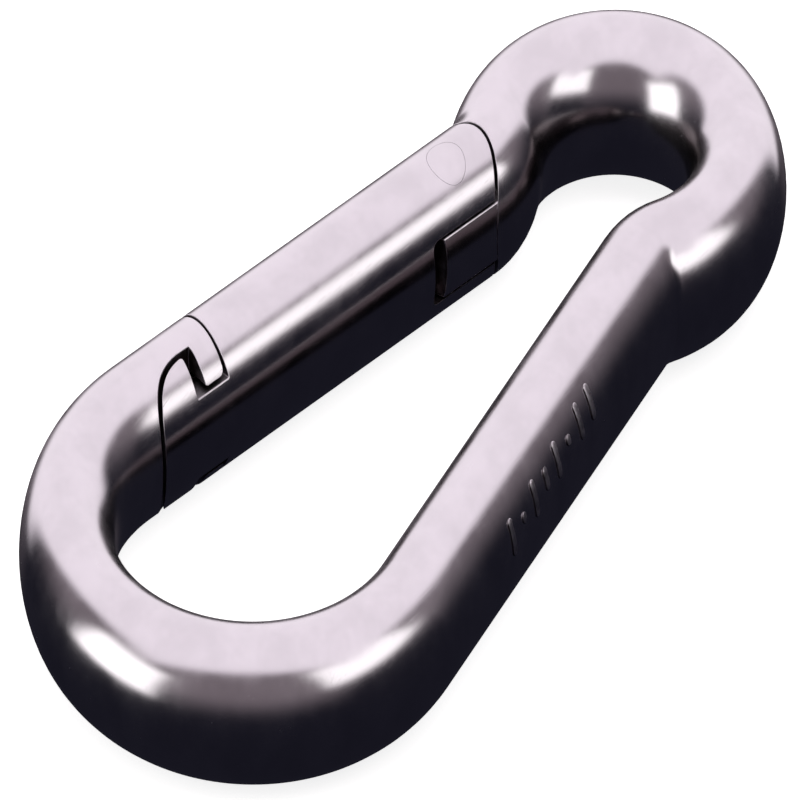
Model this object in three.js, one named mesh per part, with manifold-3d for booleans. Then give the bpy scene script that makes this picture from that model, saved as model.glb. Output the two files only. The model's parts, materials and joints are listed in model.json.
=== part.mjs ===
// Spring snap hook: a pear-shaped hook bent from round stainless bar, with a small eye,
// a wide bow and a sprung gate that locks into the nose with a T-shaped head.
// It lies flat on its side. X runs from the bow to the eye, Y towards the gate, Z is up,
// and the origin is under the middle of its box. Millimetres throughout.
import * as THREE from 'three';
import { mergeVertices } from 'three/addons/utils/BufferGeometryUtils.js';
import Module from 'manifold-3d';

const wasm = await Module();
wasm.setup();

// Hook
const LENGTH = 100;
const BAR_DIAMETER = 10;
const BAR_RADIUS = BAR_DIAMETER / 2;
const EYE_INSIDE_DIAMETER = 15;
const EYE_RADIUS = EYE_INSIDE_DIAMETER / 2 + BAR_RADIUS;
const BOW_RADIUS = 18.7;
const NECK_BEND_RADIUS = 5.8;
const NECK_ANGLE = THREE.MathUtils.degToRad(53.5);
const CENTRE_DISTANCE = LENGTH - EYE_RADIUS - BOW_RADIUS - BAR_DIAMETER;
const EYE_X = LENGTH / 2 - BAR_RADIUS - EYE_RADIUS;
const BOW_X = EYE_X - CENTRE_DISTANCE;

// Hinge. Its frame sits on the pin, with x along the gate towards the eye and y outwards.
const PIN_FROM_NECK = 7.1;
const PIN_INSET = 1;
const PIN_RADIUS = 1.8;
const PIN_BORE_RADIUS = 2.1;
const GATE_SWING = THREE.MathUtils.degToRad(30);
const CHEEK_RADIUS = 5;
const CHEEK_FLAT_X = 4;
const CHEEK_FLAT_Y = 3;
const SHOULDER_START_X = 3.5;
const SHOULDER_GAP = 0.3;
const TANG_HALF_WIDTH = 2;
const TANG_OUTER_Y = 5;
const TANG_INNER_Y = -3.7;
const TANG_ROOT_X = 6;
const CAM_RADIUS = 3.9;
const CAM_BASE_RADIUS = 1.5;
const FORK_HALF_WIDTH = 2.3;
const FORK_FLOOR_X = -5.3;

// Latch, in the hinge frame, with x running negative towards the nose
const GATE_END_X = -31.85;
const FINGER_START_X = -32.5;
const FINGER_END_X = -35;
const HEAD_START_X = -36.3;
const HEAD_LENGTH = 5.3;
const HEAD_OUTER_Y = -0.7;
const HEAD_INNER_Y = -4.7;
const HEAD_CREST_LENGTH = 0.5;
const HEAD_CREST_DROP = 0.3;
const HEAD_CORNER_SETBACK = 1;
const NECK_HALF_WIDTH = 2.75;
const LATCH_GAP = 0.4;

// Spring and plunger inside the gate
const RUNNING_GAP = 0.3;
const SPRING_BORE_RADIUS = 2.2;
const SPRING_BORE_END_X = -22;
const PLUNGER_RADIUS = 1.9;
const PLUNGER_HEAD_LENGTH = 3;
const PLUNGER_STEM_RADIUS = 0.85;
const PLUNGER_STEM_LENGTH = 3;
const WIRE_RADIUS = 0.3;
const COIL_RADIUS = 1.55;
const COIL_TURNS = 9;

// Facets
const BAR_SIDES = 24;
const ARC_STEP = THREE.MathUtils.degToRad(7.5);
const ROUND_SIDES = 24;
const WIRE_SIDES = 6;
const STEPS_PER_TURN = 12;
const CURVE_STEPS = 6;

// Cutters run past the bar on its inner and outer sides, and joined solids share some depth
const CUTTER_MARGIN = 3;
const INNER_Y = PIN_INSET - BAR_RADIUS - CUTTER_MARGIN;
const OUTER_Y = PIN_INSET + BAR_RADIUS + CUTTER_MARGIN;
const SHARED_DEPTH = 0.5;

const TINTS = { bar: 0xd9d4da, gate: 0xd6d0d6, pin: 0xc4bfc6, spring: 0xb9b9bf, plunger: 0xb4b0b6 };
const POLISHED = 0.15;
const TURNED = 0.3;

/** A centreline of straight and round stretches, each with its own number of steps. */
class CentreLine extends THREE.Curve {
  constructor(stretches) {
    super();
    this.stretches = stretches;
    this.steps = stretches.reduce((total, stretch) => total + stretch.steps, 0);
  }

  getUtoTmapping(u) {
    return u;
  }

  locate(t) {
    let step = t * this.steps;
    for (const stretch of this.stretches) {
      if (step <= stretch.steps) {
        return [stretch, step / stretch.steps];
      }
      step -= stretch.steps;
    }
    return [this.stretches.at(-1), 1];
  }

  getPoint(t, target = new THREE.Vector3()) {
    const [stretch, part] = this.locate(t);
    return target.copy(stretch.point(part));
  }

  getTangent(t, target = new THREE.Vector3()) {
    const [stretch, part] = this.locate(t);
    return target.copy(stretch.tangent(part));
  }
}

/** A straight stretch between two plan points. */
function straight(from, to, steps = 1) {
  const direction = to.clone().sub(from).normalize();
  return {
    steps,
    point: (part) => from.clone().lerp(to, part),
    tangent: () => direction,
  };
}

/** A round stretch about a centre, from a start angle through a signed sweep. */
function round(centre, radius, start, sweep) {
  // An odd number of steps puts a flat facet at the middle of the stretch.
  const steps = 2 * Math.floor(Math.abs(sweep) / ARC_STEP / 2) + 1;
  const radial = (part) => {
    const angle = start + sweep * part;
    return new THREE.Vector3(Math.cos(angle), Math.sin(angle), 0);
  };
  const side = new THREE.Vector3(0, 0, Math.sign(sweep));
  return {
    steps,
    point: (part) => centre.clone().addScaledVector(radial(part), radius),
    tangent: (part) => side.clone().cross(radial(part)),
  };
}

/** Where the straight leg on the gate's side lies; the other leg mirrors it. */
function legGeometry() {
  const eye = new THREE.Vector3(EYE_X, 0, BAR_RADIUS);
  const bow = new THREE.Vector3(BOW_X, 0, BAR_RADIUS);
  const neck = eye.clone().add(
    new THREE.Vector3(-Math.cos(NECK_ANGLE), Math.sin(NECK_ANGLE), 0).multiplyScalar(EYE_RADIUS));
  const toBow = bow.clone().sub(neck);
  const tangentLength = Math.sqrt(toBow.lengthSq() - BOW_RADIUS ** 2);
  const bearing = Math.atan2(toBow.y, toBow.x) - Math.atan2(BOW_RADIUS, tangentLength);
  const along = new THREE.Vector3(Math.cos(bearing), Math.sin(bearing), 0);
  const outward = new THREE.Vector3(along.y, -along.x, 0);
  const bowTangent = neck.clone().addScaledVector(along, tangentLength);
  const base = neck.clone().addScaledVector(outward, NECK_BEND_RADIUS).sub(eye);
  const reach = EYE_RADIUS + NECK_BEND_RADIUS;
  const run = -base.dot(along) + Math.sqrt(base.dot(along) ** 2 - base.lengthSq() + reach ** 2);
  const bendCentre = eye.clone().add(base).addScaledVector(along, run);
  const bendStart = neck.clone().addScaledVector(along, run);
  return { eye, bow, neck, along, outward, bowTangent, bendCentre, bendStart };
}

const leg = legGeometry();
const pinPoint = leg.neck.clone()
  .addScaledVector(leg.along, PIN_FROM_NECK)
  .addScaledVector(leg.outward, -PIN_INSET);
const hingeAngle = Math.atan2(-leg.along.y, -leg.along.x);
const hingeFrame = new THREE.Matrix4().makeRotationZ(hingeAngle).setPosition(pinPoint);

/** The bar's section: a polygon with flats at its top, bottom and sides. */
function barSection() {
  const corner = BAR_RADIUS / Math.cos(Math.PI / BAR_SIDES);
  const points = [];
  for (let i = 0; i < BAR_SIDES; i += 1) {
    const angle = (i + 0.5) * 2 * Math.PI / BAR_SIDES;
    points.push(new THREE.Vector2(corner * Math.cos(angle), corner * Math.sin(angle)));
  }
  return new THREE.Shape(points);
}

function sweepBar(path) {
  return new THREE.ExtrudeGeometry(barSection(), {
    extrudePath: path,
    steps: path.steps,
    bevelEnabled: false,
  });
}

/** The whole bent bar, from the shoulder at the hinge round the eye, spine and bow to the nose. */
function bentBarPath() {
  const mirror = (v) => new THREE.Vector3(v.x, -v.y, v.z);
  const shoulder = new THREE.Vector3(SHOULDER_START_X, PIN_INSET, 0).applyMatrix4(hingeFrame);
  const nose = new THREE.Vector3(FINGER_START_X, PIN_INSET, 0).applyMatrix4(hingeFrame);
  const bendFrom = Math.atan2(-leg.outward.y, -leg.outward.x);
  const towardsEye = leg.eye.clone().sub(leg.bendCentre);
  const bendTo = Math.atan2(towardsEye.y, towardsEye.x);
  const bend = THREE.MathUtils.euclideanModulo(bendTo - bendFrom, 2 * Math.PI);
  const eyeFrom = Math.atan2(-towardsEye.y, -towardsEye.x);
  const bowFrom = Math.atan2(-leg.outward.y, leg.outward.x);
  return new CentreLine([
    straight(shoulder, leg.bendStart),
    round(leg.bendCentre, NECK_BEND_RADIUS, bendFrom, bend),
    round(leg.eye, EYE_RADIUS, eyeFrom, -2 * eyeFrom),
    round(mirror(leg.bendCentre), NECK_BEND_RADIUS, -bendTo, bend),
    straight(mirror(leg.bendStart), mirror(leg.bowTangent)),
    round(leg.bow, BOW_RADIUS, bowFrom, -2 * (Math.PI + bowFrom)),
    straight(leg.bowTangent, nose),
  ]);
}

function toSolid(geometry, matrix = new THREE.Matrix4()) {
  const bare = geometry.clone().applyMatrix4(matrix);
  bare.deleteAttribute('normal');
  bare.deleteAttribute('uv');
  const merged = mergeVertices(bare, 1e-5);
  return new wasm.Manifold(new wasm.Mesh({
    numProp: 3,
    vertProperties: new Float32Array(merged.attributes.position.array),
    triVerts: new Uint32Array(merged.index.array),
  }));
}

function toGeometry(solid) {
  const mesh = solid.getMesh();
  const geometry = new THREE.BufferGeometry();
  geometry.setAttribute('position', new THREE.BufferAttribute(new Float32Array(mesh.vertProperties), 3));
  geometry.setIndex(new THREE.BufferAttribute(new Uint32Array(mesh.triVerts), 1));
  geometry.computeVertexNormals();
  return geometry;
}

/** A plan outline in the hinge frame, as thick as twice the half height. */
function prism(outline, halfHeight = BAR_DIAMETER) {
  const shape = outline instanceof THREE.Shape ? outline : new THREE.Shape(outline);
  const geometry = new THREE.ExtrudeGeometry(shape, {
    depth: 2 * halfHeight,
    bevelEnabled: false,
    curveSegments: CURVE_STEPS,
  });
  return geometry.translate(0, 0, -halfHeight);
}

function rectangle(x0, x1, y0, y1) {
  return [[x0, y0], [x1, y0], [x1, y1], [x0, y1]].map(([x, y]) => new THREE.Vector2(x, y));
}

/** An upright cylinder about the pin. */
function pinCylinder(radius, halfHeight = BAR_DIAMETER) {
  return new THREE.CylinderGeometry(radius, radius, 2 * halfHeight, ROUND_SIDES).rotateX(Math.PI / 2);
}

/** The tang: rounded outside, with an involute cam that moves the plunger evenly. */
function tangOutline() {
  const shape = new THREE.Shape();
  shape.moveTo(TANG_ROOT_X, TANG_INNER_Y);
  shape.lineTo(TANG_ROOT_X, TANG_OUTER_Y);
  shape.lineTo(0, TANG_OUTER_Y);
  shape.absellipse(0, 0, CAM_RADIUS, TANG_OUTER_Y, Math.PI / 2, Math.PI, false);
  for (let i = 0; i <= CURVE_STEPS; i += 1) {
    const turn = GATE_SWING * i / CURVE_STEPS;
    const lift = CAM_RADIUS + CAM_BASE_RADIUS * turn;
    shape.lineTo(
      -lift * Math.cos(turn) + CAM_BASE_RADIUS * Math.sin(turn),
      -lift * Math.sin(turn) - CAM_BASE_RADIUS * Math.cos(turn));
  }
  return shape;
}

/** The head in plan, from a back face to its rounded far side, grown by a clearance. */
function headOutline(back, clearance) {
  const far = HEAD_START_X - HEAD_LENGTH - clearance;
  const top = HEAD_OUTER_Y + clearance;
  const shape = new THREE.Shape();
  shape.moveTo(back, INNER_Y);
  shape.lineTo(back, top);
  shape.lineTo(HEAD_START_X - HEAD_CREST_LENGTH, top);
  shape.quadraticCurveTo(far + HEAD_CORNER_SETBACK, top - HEAD_CREST_DROP, far, HEAD_INNER_Y);
  shape.lineTo(far, INNER_Y);
  return shape;
}

/** The gate in plan, short of its head: a rounded hinge end and a square latch end. */
function gateOutline() {
  const shape = new THREE.Shape();
  shape.moveTo(GATE_END_X, INNER_Y);
  shape.lineTo(0, INNER_Y);
  shape.lineTo(0, -CHEEK_RADIUS);
  shape.absarc(0, 0, CHEEK_RADIUS, -Math.PI / 2, Math.atan2(CHEEK_FLAT_Y, CHEEK_FLAT_X), false);
  shape.lineTo(CHEEK_FLAT_X, OUTER_Y);
  shape.lineTo(GATE_END_X, OUTER_Y);
  return shape;
}

/** The hook: bent bar, tang for the hinge, and the slot and pocket in the nose. */
function hookBody() {
  const flatRoom = rectangle(0, CHEEK_FLAT_X + SHOULDER_GAP, CHEEK_FLAT_Y, OUTER_Y);
  const slotTop = HEAD_OUTER_Y + LATCH_GAP;
  const slot = rectangle(HEAD_START_X, FINGER_START_X + LATCH_GAP, INNER_Y, slotTop);
  const cutters = [
    pinCylinder(CHEEK_RADIUS + SHOULDER_GAP),
    prism(flatRoom),
    prism(headOutline(FINGER_END_X, LATCH_GAP)),
    prism(slot, NECK_HALF_WIDTH + LATCH_GAP),
  ];
  const bar = toSolid(sweepBar(bentBarPath()));
  const cutBar = cutters.reduce((solid, cutter) => solid.subtract(toSolid(cutter, hingeFrame)), bar);
  return cutBar
    .add(toSolid(prism(tangOutline(), TANG_HALF_WIDTH), hingeFrame))
    .subtract(toSolid(pinCylinder(PIN_BORE_RADIUS), hingeFrame));
}

/** The straight round bar that the gate is cut from, in the hinge frame. */
function gateBar() {
  const hingeEnd = new THREE.Vector3(CHEEK_RADIUS + CUTTER_MARGIN, PIN_INSET, 0);
  const headEnd = new THREE.Vector3(HEAD_START_X - HEAD_LENGTH - CUTTER_MARGIN, PIN_INSET, 0);
  return toSolid(sweepBar(new CentreLine([straight(hingeEnd, headEnd)])));
}

/** The gate: forked hinge end, bore for the spring, and a narrow neck carrying the wide head. */
function gateBody() {
  const neck = rectangle(HEAD_START_X - SHARED_DEPTH, GATE_END_X + SHARED_DEPTH, INNER_Y, HEAD_OUTER_Y);
  const fork = rectangle(FORK_FLOOR_X, CHEEK_RADIUS + CUTTER_MARGIN, INNER_Y, OUTER_Y);
  const boreLength = FORK_FLOOR_X + SHARED_DEPTH - SPRING_BORE_END_X;
  const bore = new THREE.CylinderGeometry(SPRING_BORE_RADIUS, SPRING_BORE_RADIUS, boreLength, ROUND_SIDES)
    .rotateZ(Math.PI / 2)
    .translate(SPRING_BORE_END_X + boreLength / 2, 0, 0);
  return toSolid(prism(gateOutline()))
    .add(toSolid(prism(neck, NECK_HALF_WIDTH)))
    .add(toSolid(prism(headOutline(HEAD_START_X, 0))))
    .intersect(gateBar())
    .subtract(toSolid(prism(fork, FORK_HALF_WIDTH)))
    .subtract(toSolid(bore))
    .subtract(toSolid(pinCylinder(PIN_BORE_RADIUS)));
}

/** The hinge pin, ground off flush with the round of the gate. */
function hingePin() {
  return toSolid(pinCylinder(PIN_RADIUS)).intersect(gateBar());
}

/** The plunger: its flat head rides on the cam and its stem guides the spring. */
function plungerGeometry() {
  const face = -(CAM_RADIUS + RUNNING_GAP);
  const headEnd = face - PLUNGER_HEAD_LENGTH;
  const profile = [
    [0, face],
    [PLUNGER_RADIUS, face],
    [PLUNGER_RADIUS, headEnd],
    [PLUNGER_STEM_RADIUS, headEnd],
    [PLUNGER_STEM_RADIUS, headEnd - PLUNGER_STEM_LENGTH],
    [0, headEnd - PLUNGER_STEM_LENGTH],
  ].map(([radius, x]) => new THREE.Vector2(radius, x)).reverse();
  return new THREE.LatheGeometry(profile, ROUND_SIDES).rotateZ(-Math.PI / 2);
}

/** A helix along the gate, between the plunger's head and the bottom of the bore. */
class Helix extends THREE.Curve {
  constructor(from, to) {
    super();
    this.from = from;
    this.to = to;
  }

  getPoint(t, target = new THREE.Vector3()) {
    const angle = 2 * Math.PI * COIL_TURNS * t;
    const x = THREE.MathUtils.lerp(this.from, this.to, t);
    return target.set(x, COIL_RADIUS * Math.cos(angle), COIL_RADIUS * Math.sin(angle));
  }
}

function springGeometry() {
  const seat = -(CAM_RADIUS + RUNNING_GAP + PLUNGER_HEAD_LENGTH);
  const from = seat - RUNNING_GAP - WIRE_RADIUS;
  const to = SPRING_BORE_END_X + RUNNING_GAP + WIRE_RADIUS;
  const points = [];
  for (let i = 0; i < WIRE_SIDES; i += 1) {
    const angle = 2 * Math.PI * i / WIRE_SIDES;
    points.push(new THREE.Vector2(WIRE_RADIUS * Math.cos(angle), WIRE_RADIUS * Math.sin(angle)));
  }
  return new THREE.ExtrudeGeometry(new THREE.Shape(points), {
    extrudePath: new Helix(from, to),
    steps: COIL_TURNS * STEPS_PER_TURN,
    bevelEnabled: false,
  });
}

function piece(name, geometry, color, roughness) {
  const material = new THREE.MeshStandardMaterial({ color, roughness, metalness: 1 });
  const mesh = new THREE.Mesh(geometry, material);
  mesh.name = name;
  return mesh;
}

const hook = new THREE.Group();
hook.name = 'snap_hook';
hook.add(piece('hook_body', toGeometry(hookBody()), TINTS.bar, POLISHED));

const gateGroup = new THREE.Group();
gateGroup.name = 'gate_assembly';
gateGroup.applyMatrix4(hingeFrame);
gateGroup.add(piece('gate', toGeometry(gateBody()), TINTS.gate, POLISHED));
gateGroup.add(piece('hinge_pin', toGeometry(hingePin()), TINTS.pin, TURNED));
gateGroup.add(piece('gate_spring', springGeometry(), TINTS.spring, TURNED));
gateGroup.add(piece('spring_plunger', plungerGeometry(), TINTS.plunger, TURNED));
hook.add(gateGroup);

export default hook;
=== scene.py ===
"""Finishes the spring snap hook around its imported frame.

The hook is one bent round bar with a riveted gate. Each piece is built here as a fine mesh, in
millimetres in the frame's own axes, dressed in its own steel and hung on the body that it moves
with. The cuts at the hinge and the latch repeat the frame's driving sizes.
"""

import json
import logging
import math
from abc import ABC, abstractmethod
from dataclasses import dataclass
from enum import Enum
from typing import Any, Sequence

import bmesh
import bpy
import numpy as np
from mathutils import Matrix, Vector


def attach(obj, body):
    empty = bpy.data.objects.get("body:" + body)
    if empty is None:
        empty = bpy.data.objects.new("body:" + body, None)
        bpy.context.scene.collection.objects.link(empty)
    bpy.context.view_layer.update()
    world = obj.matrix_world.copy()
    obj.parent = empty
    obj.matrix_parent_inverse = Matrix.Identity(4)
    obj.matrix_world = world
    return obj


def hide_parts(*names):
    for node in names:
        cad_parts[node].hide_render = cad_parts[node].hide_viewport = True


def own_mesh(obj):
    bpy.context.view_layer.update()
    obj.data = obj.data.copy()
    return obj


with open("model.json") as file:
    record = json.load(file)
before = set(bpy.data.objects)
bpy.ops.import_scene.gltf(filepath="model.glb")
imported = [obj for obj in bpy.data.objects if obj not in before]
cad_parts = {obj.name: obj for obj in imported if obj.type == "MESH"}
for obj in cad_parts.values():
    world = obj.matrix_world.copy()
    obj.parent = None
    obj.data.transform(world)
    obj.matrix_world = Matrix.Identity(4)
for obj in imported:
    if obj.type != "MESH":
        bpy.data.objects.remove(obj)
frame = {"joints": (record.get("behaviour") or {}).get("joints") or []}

logging.basicConfig(level=logging.INFO, format="%(name)s: %(message)s")
log = logging.getLogger("snap_hook")

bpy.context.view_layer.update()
MM = 0.001
BEYOND = 9.0
MIRROR = np.array((1.0, -1.0))
UPRIGHT = Vector((0, 0, 1))

Point = tuple[float, float]
Turn = tuple[float, float, float]
Tint = tuple[float, float, float]
Colour = tuple[float, float, float, float]


class Combine(Enum):
    """How one solid meets another."""

    CUT = "DIFFERENCE"
    JOIN = "UNION"
    COMMON = "INTERSECT"


class Body(Enum):
    """The bodies that pieces move with."""

    HOOK = "hook"
    GATE_ARM = "gate_arm"
    PLUNGER = "plunger"


class Slot(Enum):
    """The record's material slots."""

    BAR = "bar_steel"
    GATE = "gate_steel"
    PIN = "pin_steel"
    SPRING = "spring_steel"


class Face(Enum):
    """Which of a piece's three steels a face is dressed in."""

    POLISHED = 0
    RUBBED = 1
    MILLED = 2


def radians(*degrees: float) -> tuple[float, ...]:
    """Angles that are given in degrees, in radians."""
    return tuple(math.radians(angle) for angle in degrees)


# ---------------------------------------------------------------------------- centrelines


class Stretch(ABC):
    """One straight or round stretch of a centreline, in plan."""

    @abstractmethod
    def point(self, part: float) -> np.ndarray:
        """The plan point at a share of the stretch."""

    @abstractmethod
    def tangent(self, part: float) -> np.ndarray:
        """The direction of travel at a share of the stretch."""

    @abstractmethod
    def foot(self, points: np.ndarray) -> np.ndarray:
        """The nearest point on the stretch to each plan point."""

    @abstractmethod
    def steps(self, stride: float) -> int:
        """How many steps the stretch needs when one step may be so long."""


@dataclass(frozen=True)
class Straight(Stretch):
    """A straight stretch between two plan points."""

    start: np.ndarray
    end: np.ndarray

    def point(self, part: float) -> np.ndarray:
        """The plan point at a share of the stretch."""
        return self.start + (self.end - self.start) * part

    def tangent(self, part: float) -> np.ndarray:
        """The direction of travel, the same all along."""
        run = self.end - self.start
        return run / np.linalg.norm(run)

    def foot(self, points: np.ndarray) -> np.ndarray:
        """The nearest point on the stretch to each plan point.

        Args:
            points: Plan points, one to a row.

        Returns:
            The nearest points, one to a row.
        """
        run = self.end - self.start
        part = np.clip((points - self.start) @ run / (run @ run), 0, 1)
        return self.start + part[:, None] * run

    def steps(self, stride: float) -> int:
        """A straight stretch needs only its two ends."""
        return 1


@dataclass(frozen=True)
class Bend(Stretch):
    """A round stretch about a centre, from a start angle through a signed sweep."""

    centre: np.ndarray
    radius: float
    start: float
    sweep: float

    def point(self, part: float) -> np.ndarray:
        """The plan point at a share of the stretch."""
        angle = self.start + self.sweep * part
        return self.centre + self.radius * np.array((math.cos(angle), math.sin(angle)))

    def tangent(self, part: float) -> np.ndarray:
        """The direction of travel at a share of the stretch."""
        angle = self.start + self.sweep * part
        return math.copysign(1, self.sweep) * np.array((-math.sin(angle), math.cos(angle)))

    def foot(self, points: np.ndarray) -> np.ndarray:
        """The nearest point on the stretch to each plan point.

        Args:
            points: Plan points, one to a row.

        Returns:
            The nearest points, one to a row.
        """
        away = points - self.centre
        middle = self.start + self.sweep / 2
        turned = np.arctan2(away[:, 1], away[:, 0]) - middle
        turned = (turned + math.pi) % (2 * math.pi) - math.pi
        angle = middle + np.clip(turned, -abs(self.sweep) / 2, abs(self.sweep) / 2)
        return self.centre + self.radius * np.stack((np.cos(angle), np.sin(angle)), axis=1)

    def steps(self, stride: float) -> int:
        """Enough steps that none is longer than allowed."""
        return max(2, math.ceil(abs(self.sweep) * self.radius / stride))


@dataclass(frozen=True)
class RoundBar:
    """A round bar swept along a plan centreline at one height."""

    stretches: tuple[Stretch, ...]
    radius: float
    height: float

    def skin(self, sides: int, stride: float = 1.0) -> "Solid":
        """The bar's closed mesh.

        Args:
            sides: How many sides the section has.
            stride: How long one step round a bend may be, on the centreline.

        Returns:
            The solid, with flat ends.
        """
        stations = []
        for stretch in self.stretches:
            steps = stretch.steps(stride)
            first = 0 if not stations else 1
            for i in range(first, steps + 1):
                stations.append((stretch.point(i / steps), stretch.tangent(i / steps)))
        angles = (np.arange(sides) + 0.5) * 2 * math.pi / sides
        rings = []
        for centre, along in stations:
            outward = np.array((along[1], -along[0]))
            plan = centre + self.radius * np.cos(angles)[:, None] * outward
            rings.append(np.column_stack((plan, self.height + self.radius * np.sin(angles))))
        return Solid.lofted("bar", rings)

    def radial(self, points: np.ndarray) -> tuple[np.ndarray, np.ndarray]:
        """Which way the bar's surface faces at points on it.

        Args:
            points: Points in the row frame.

        Returns:
            The unit direction away from the centreline, and the distance from it.
        """
        feet = [stretch.foot(points[:, :2]) for stretch in self.stretches]
        gaps = np.stack([np.linalg.norm(points[:, :2] - foot, axis=1) for foot in feet])
        nearest = np.stack(feet)[gaps.argmin(axis=0), np.arange(len(points))]
        away = np.column_stack((points[:, :2] - nearest, points[:, 2] - self.height))
        distance = np.linalg.norm(away, axis=1)
        return away / np.maximum(distance, 1e-9)[:, None], distance


# ---------------------------------------------------------------------------- solids


class Solid:
    """A closed mesh in millimetres that can be cut and joined, and then shown as a piece."""

    SKIN_TOLERANCE = 0.014
    NEAR_SKIN = 0.06
    ROUND_FACE = math.cos(math.radians(8))
    LEAST_EDGE = 0.012
    SHARP_ANGLE = math.radians(38)
    SAME_FACE = math.cos(math.radians(42))
    EDGE_SEGMENTS = 2
    FLAT_WEIGHT = 90

    def __init__(self, mesh: bpy.types.Mesh) -> None:
        """Wraps a mesh.

        Args:
            mesh: A closed mesh in the row frame.
        """
        self.mesh = mesh

    @classmethod
    def from_faces(
        cls, name: str, points: Sequence[Sequence[float]], faces: Sequence[Sequence[int]]
    ) -> "Solid":
        """A solid from its corners and faces.

        Args:
            name: What it is called.
            points: The corners.
            faces: The corners of each face, seen from outside and anticlockwise.

        Returns:
            The solid.
        """
        mesh = bpy.data.meshes.new(name)
        mesh.from_pydata([tuple(map(float, p)) for p in points], [], [list(f) for f in faces])
        mesh.validate()
        return cls(mesh)

    @classmethod
    def lofted(cls, name: str, rings: Sequence[np.ndarray]) -> "Solid":
        """A solid that runs through closed rings of equally many points, capped at both ends.

        Args:
            name: What it is called.
            rings: The rings, in order of travel, each going round anticlockwise seen from its end.

        Returns:
            The solid.
        """
        count = len(rings[0])
        faces = [list(range(count))[::-1]]
        for i in range(len(rings) - 1):
            low, high = i * count, (i + 1) * count
            for j in range(count):
                k = (j + 1) % count
                faces.append([low + j, low + k, high + k, high + j])
        faces.append([(len(rings) - 1) * count + j for j in range(count)])
        solid = cls.from_faces(name, np.concatenate(rings), faces)
        return solid if solid.volume() > 0 else solid.turned_inside_out()

    @classmethod
    def prism(
        cls, name: str, outline: Sequence[Point], low: float, high: float, place: Matrix
    ) -> "Solid":
        """A plan outline carried straight up.

        Args:
            name: What it is called.
            outline: The outline, in the place's own x and y.
            low: Where it starts in the place's z.
            high: Where it ends.
            place: Where the outline's frame is.

        Returns:
            The solid.
        """
        rings = [np.array([place @ Vector((x, y, z)) for x, y in outline]) for z in (low, high)]
        return cls.lofted(name, rings)

    @classmethod
    def turned(cls, name: str, profile: Sequence[Point], sides: int, place: Matrix) -> "Solid":
        """A solid of revolution about the place's x axis.

        Args:
            name: What it is called.
            profile: Pairs of x and radius, none of them on the axis.
            sides: How many sides it has.
            place: Where the axis is.

        Returns:
            The solid.
        """
        angles = np.arange(sides) * 2 * math.pi / sides
        rings = []
        for x, radius in profile:
            ring = [Vector((x, radius * math.cos(a), radius * math.sin(a))) for a in angles]
            rings.append(np.array([place @ corner for corner in ring]))
        return cls.lofted(name, rings)

    def volume(self) -> float:
        """The signed volume, which is below zero when the faces point inwards.

        Returns:
            The volume in cubic millimetres.
        """
        self.mesh.calc_loop_triangles()
        corners = np.array([v.co for v in self.mesh.vertices])
        triangles = np.array([t.vertices[:] for t in self.mesh.loop_triangles])
        a, b, c = (corners[triangles[:, i]] for i in range(3))
        return float(np.einsum("ij,ij->i", a, np.cross(b, c)).sum() / 6)

    def turned_inside_out(self) -> "Solid":
        """The same solid with its faces turned over."""
        self.mesh.flip_normals()
        return self

    def meet(self, other: "Solid", how: Combine) -> "Solid":
        """Cuts this solid with another, joins them, or keeps what they share.

        Args:
            other: The other solid.
            how: What to do.

        Returns:
            The new solid.
        """
        holder, tool = (bpy.data.objects.new("work", s.mesh) for s in (self, other))
        for thing in (holder, tool):
            bpy.context.scene.collection.objects.link(thing)
        modifier = holder.modifiers.new("meet", "BOOLEAN")
        modifier.operation = how.value
        modifier.solver = "MANIFOLD"
        modifier.object = tool
        mesh = self._evaluated(holder)
        for thing in (holder, tool):
            bpy.data.objects.remove(thing)
        return Solid(mesh)

    def softened(self, width: float, steels: "SteelSet") -> "Solid":
        """The solid with its sharp edges rounded, and rubbed bright there.

        Args:
            width: How wide each rounded edge is.
            steels: What the solid is dressed in.

        Returns:
            The new solid.
        """
        self._tidy()
        self.mesh.materials.clear()
        for steel in steels:
            self.mesh.materials.append(steel)
        holder = bpy.data.objects.new("work", self.mesh)
        bpy.context.scene.collection.objects.link(holder)
        bevel = holder.modifiers.new("edges", "BEVEL")
        bevel.width = width
        bevel.segments = self.EDGE_SEGMENTS
        bevel.limit_method = "ANGLE"
        bevel.angle_limit = self.SHARP_ANGLE
        bevel.use_clamp_overlap = False
        bevel.miter_outer = "MITER_ARC"
        bevel.material = Face.RUBBED.value
        mesh = self._evaluated(holder)
        bpy.data.objects.remove(holder)
        return Solid(mesh)

    def _tidy(self) -> None:
        """Closes up the slivers that cutting leaves."""
        work = bmesh.new()
        work.from_mesh(self.mesh)
        bmesh.ops.remove_doubles(work, verts=work.verts, dist=self.LEAST_EDGE)
        bmesh.ops.dissolve_degenerate(work, dist=self.LEAST_EDGE, edges=work.edges)
        work.to_mesh(self.mesh)
        work.free()

    @staticmethod
    def _evaluated(holder: bpy.types.Object) -> bpy.types.Mesh:
        """The mesh of an object with its modifiers applied."""
        graph = bpy.context.evaluated_depsgraph_get()
        return bpy.data.meshes.new_from_object(holder.evaluated_get(graph))

    def shown(self, name: str, bar: RoundBar | None = None) -> bpy.types.Object:
        """Makes the solid a piece in metres, with smooth and true shading.

        Args:
            name: The piece's name.
            bar: The round bar that it was cut from, whose true roundness its shading keeps.

        Returns:
            The piece.
        """
        self.mesh.transform(Matrix.Scale(MM, 4))
        self.mesh.shade_smooth()
        self.mesh.set_sharp_from_angle(angle=self.SHARP_ANGLE)
        piece = bpy.data.objects.new(name, self.mesh)
        bpy.context.scene.collection.objects.link(piece)
        weighted = piece.modifiers.new("flats", "WEIGHTED_NORMAL")
        weighted.weight = self.FLAT_WEIGHT
        weighted.keep_sharp = True
        piece.data = self._evaluated(piece)
        piece.data.name = name
        piece.modifiers.clear()
        if bar is not None:
            self._keep_round(piece.data, bar)
        return piece

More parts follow.
